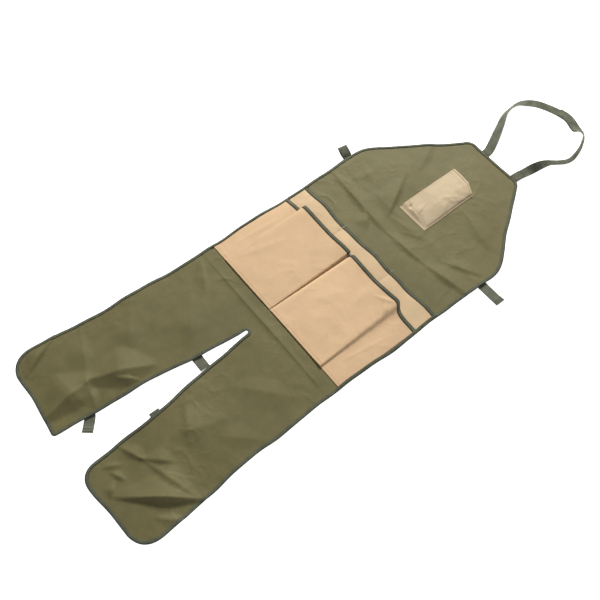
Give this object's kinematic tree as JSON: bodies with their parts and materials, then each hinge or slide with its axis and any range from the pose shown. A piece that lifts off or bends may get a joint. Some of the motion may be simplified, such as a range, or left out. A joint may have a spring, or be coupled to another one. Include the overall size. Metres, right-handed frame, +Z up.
{
  "type": "artist smock apron",
  "caption": "Split-leg artist's apron in olive canvas with tan tool pockets, bound edges, webbing neck loop and leg straps, lying flat.",
  "frame": {"origin": "middle of the bounding box at the surface the apron lies on", "axes": "+X to the right seen from above with the neck away from the viewer, +Y from hem to neck, +Z up, out of the pocket face"},
  "size_m": [0.594, 1.548, 0.0252],
  "materials": {
    "canvas": "coated olive canvas, soft sheen",
    "binding": "ribbed grosgrain tape",
    "pocket_canvas": "tan canvas",
    "chest_canvas": "pale tan canvas",
    "webbing": "flat woven webbing",
    "thread": "stitching thread",
    "hook_and_loop": "hook and loop tape"
  },
  "bodies": {
    "middle": {"mid_panel": "canvas", "mid_left_binding": "binding", "mid_right_binding": "binding", "crotch_binding": "binding", "rear_pocket": "pocket_canvas", "rear_pocket_binding": "binding", "rear_tack_left": "thread", "rear_tack_right": "thread", "left_front_pocket": "pocket_canvas", "left_front_pocket_binding": "binding", "right_front_pocket": "pocket_canvas", "right_front_pocket_binding": "binding", "front_tack_left": "thread", "front_tack_right": "thread"},
    "bib": {"bib_panel": "canvas", "neck_binding": "binding", "bib_left_binding": "binding", "bib_right_binding": "binding", "chest_pocket": "chest_canvas"},
    "neck_loop": {"neck_strap_left": "webbing", "neck_strap_right": "webbing", "neck_loop_patch": "hook_and_loop", "neck_hook_patch": "hook_and_loop"},
    "left_waist": {"left_waist_loop": "webbing"},
    "right_waist": {"right_waist_strap": "webbing"},
    "left_leg": {"left_leg_panel": "canvas", "left_leg_binding": "binding"},
    "right_leg": {"right_leg_panel": "canvas", "right_leg_binding": "binding"},
    "left_thigh": {"left_thigh_strap": "webbing"},
    "left_calf": {"left_calf_strap": "webbing"},
    "right_knee": {"right_knee_strap": "webbing"}
  },
  "joints": [
    {"name": "waist_fold", "type": "hinge", "parent": "middle", "child": "bib", "pos_m": [-0.011, 0.15077, 0.0041], "axis": [1, 0, 0], "range_deg": [0, 120]},
    {"name": "neck_loop_swing", "type": "hinge", "parent": "bib", "child": "neck_loop", "pos_m": [-0.011, 0.47856, 0.0012], "axis": [-1, 0, 0], "range_deg": [0, 120]},
    {"name": "left_waist_loop_swing", "type": "hinge", "parent": "bib", "child": "left_waist", "pos_m": [-0.23514, 0.21837, 0.0012], "axis": [0, -1, 0], "range_deg": [0, 120]},
    {"name": "right_waist_strap_swing", "type": "hinge", "parent": "bib", "child": "right_waist", "pos_m": [0.21499, 0.21677, 0.0012], "axis": [0, 1, 0], "range_deg": [0, 120]},
    {"name": "left_leg_fold", "type": "hinge", "parent": "middle", "child": "left_leg", "pos_m": [-0.134, -0.30123, 0.0041], "axis": [-1, 0, 0], "range_deg": [0, 90]},
    {"name": "right_leg_fold", "type": "hinge", "parent": "middle", "child": "right_leg", "pos_m": [0.112, -0.30123, 0.0041], "axis": [-1, 0, 0], "range_deg": [0, 90]},
    {"name": "left_thigh_strap_swing", "type": "hinge", "parent": "left_leg", "child": "left_thigh", "pos_m": [-0.24269, -0.42223, 0.0012], "axis": [0, 1, 0], "range_deg": [0, 110]},
    {"name": "left_calf_strap_swing", "type": "hinge", "parent": "left_leg", "child": "left_calf", "pos_m": [-0.25754, -0.69591, 0.0012], "axis": [0, 1, 0], "range_deg": [0, 110]},
    {"name": "right_knee_strap_swing", "type": "hinge", "parent": "right_leg", "child": "right_knee", "pos_m": [0.23239, -0.57123, 0.0012], "axis": [0, -1, 0], "range_deg": [0, 110]}
  ]
}
